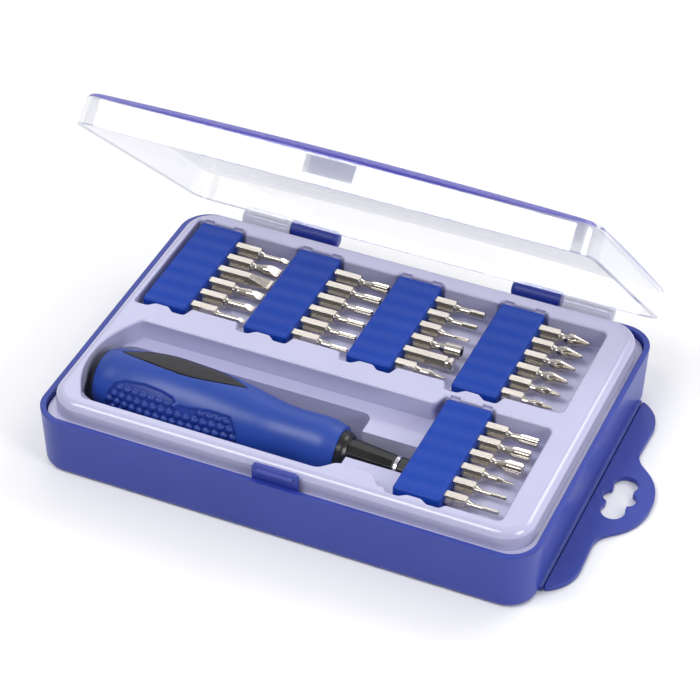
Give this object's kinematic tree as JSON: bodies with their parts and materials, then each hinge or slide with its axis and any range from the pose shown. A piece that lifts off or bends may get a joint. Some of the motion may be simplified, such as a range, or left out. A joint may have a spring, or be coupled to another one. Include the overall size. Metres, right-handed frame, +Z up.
{
  "type": "precision screwdriver set",
  "caption": "Flat hinged case with a clear lid, a moulded tray, small bits in lift-out holders and a two-component bit screwdriver.",
  "frame": {"origin": "centre of the case's flat underside", "axes": "+X along the case's length towards the hang tab, +Y towards the lid's hinges, +Z up out of the case"},
  "size_m": [0.178, 0.1219, 0.1102],
  "materials": {
    "case_blue": "smooth injection-moulded deep blue plastic",
    "tray_lavender": "high-gloss moulded pale lavender plastic",
    "holder_blue": "slightly translucent satin blue plastic",
    "lid_clear": "clear polished plastic",
    "core_black": "satin black moulded plastic",
    "inset_black": "satin black soft plastic",
    "grip_rubber": "soft-touch blue rubber",
    "chuck_black": "black oxide satin steel",
    "ring_chrome": "polished bright ring",
    "magnet_steel": "plain bright end",
    "bit_nickel": "nickel-plated steel, satin bright"
  },
  "bodies": {
    "case": {"base_shell": "case_blue", "tray": "tray_lavender"},
    "lid": {"lid": "lid_clear"},
    "hang_tab": {"hang_tab": "case_blue"},
    "latch": {"latch": "case_blue"},
    "driver": {"handle_core": "core_black", "end_cap": "core_black", "rubber_grip": "grip_rubber", "thumb_inset": "inset_black", "chuck": "chuck_black", "chuck_ring": "ring_chrome", "bit_magnet": "magnet_steel"},
    "holder_1": {"bit_holder_1": "holder_blue", "bit_slotted_2_0": "bit_nickel", "bit_slotted_4_0": "bit_nickel", "bit_slotted_wide": "bit_nickel", "bit_slotted_3_0": "bit_nickel", "bit_slotted_2_5": "bit_nickel", "bit_slotted_1_5": "bit_nickel"},
    "holder_2": {"bit_holder_2": "holder_blue", "bit_star_large": "bit_nickel", "bit_star_9": "bit_nickel", "bit_star_8": "bit_nickel", "bit_star_7": "bit_nickel", "bit_star_6": "bit_nickel", "bit_star_5": "bit_nickel"},
    "holder_3": {"bit_holder_3": "holder_blue", "bit_hex_2_0": "bit_nickel", "bit_hex_1_5": "bit_nickel", "bit_hex_0_9": "bit_nickel", "bit_nut_socket": "bit_nickel", "bit_extension": "bit_nickel", "bit_point_fine": "bit_nickel"},
    "holder_4": {"bit_holder_4": "holder_blue", "bit_cross_2": "bit_nickel", "bit_cross_1": "bit_nickel", "bit_cross_pz1": "bit_nickel", "bit_cross_pz0": "bit_nickel", "bit_cross_0": "bit_nickel", "bit_cross_00": "bit_nickel"},
    "holder_5": {"bit_holder_5": "holder_blue", "bit_star_10": "bit_nickel", "bit_star_15": "bit_nickel", "bit_star_20": "bit_nickel", "bit_needle_tip": "bit_nickel", "bit_hex_1_3": "bit_nickel", "bit_hex_0_7": "bit_nickel"}
  },
  "joints": [
    {"name": "lid_hinge", "type": "hinge", "parent": "case", "child": "lid", "pos_m": [0, 0.0611, 0.0191], "axis": [-1, 0, 0], "range_deg": [-45.5, 74.5]},
    {"name": "tab_fold", "type": "hinge", "parent": "case", "child": "hang_tab", "pos_m": [0.0802, 0, 0.0017], "axis": [0, -1, 0], "range_deg": [0, 90]},
    {"name": "latch_flex", "type": "hinge", "parent": "case", "child": "latch", "pos_m": [0, -0.05405, 0.01715], "axis": [-1, 0, 0], "range_deg": [0, 4], "stiffness_Nm_per_rad": 1},
    {"name": "driver_lift", "type": "slide", "parent": "case", "child": "driver", "axis": [0, 0, 1], "range_m": [0, 0.04]},
    {"name": "holder_1_lift", "type": "slide", "parent": "case", "child": "holder_1", "axis": [0, 0, 1], "range_m": [0, 0.02]},
    {"name": "holder_2_lift", "type": "slide", "parent": "case", "child": "holder_2", "axis": [0, 0, 1], "range_m": [0, 0.02]},
    {"name": "holder_3_lift", "type": "slide", "parent": "case", "child": "holder_3", "axis": [0, 0, 1], "range_m": [0, 0.02]},
    {"name": "holder_4_lift", "type": "slide", "parent": "case", "child": "holder_4", "axis": [0, 0, 1], "range_m": [0, 0.02]},
    {"name": "holder_5_lift", "type": "slide", "parent": "case", "child": "holder_5", "axis": [0, 0, 1], "range_m": [0, 0.04]}
  ]
}
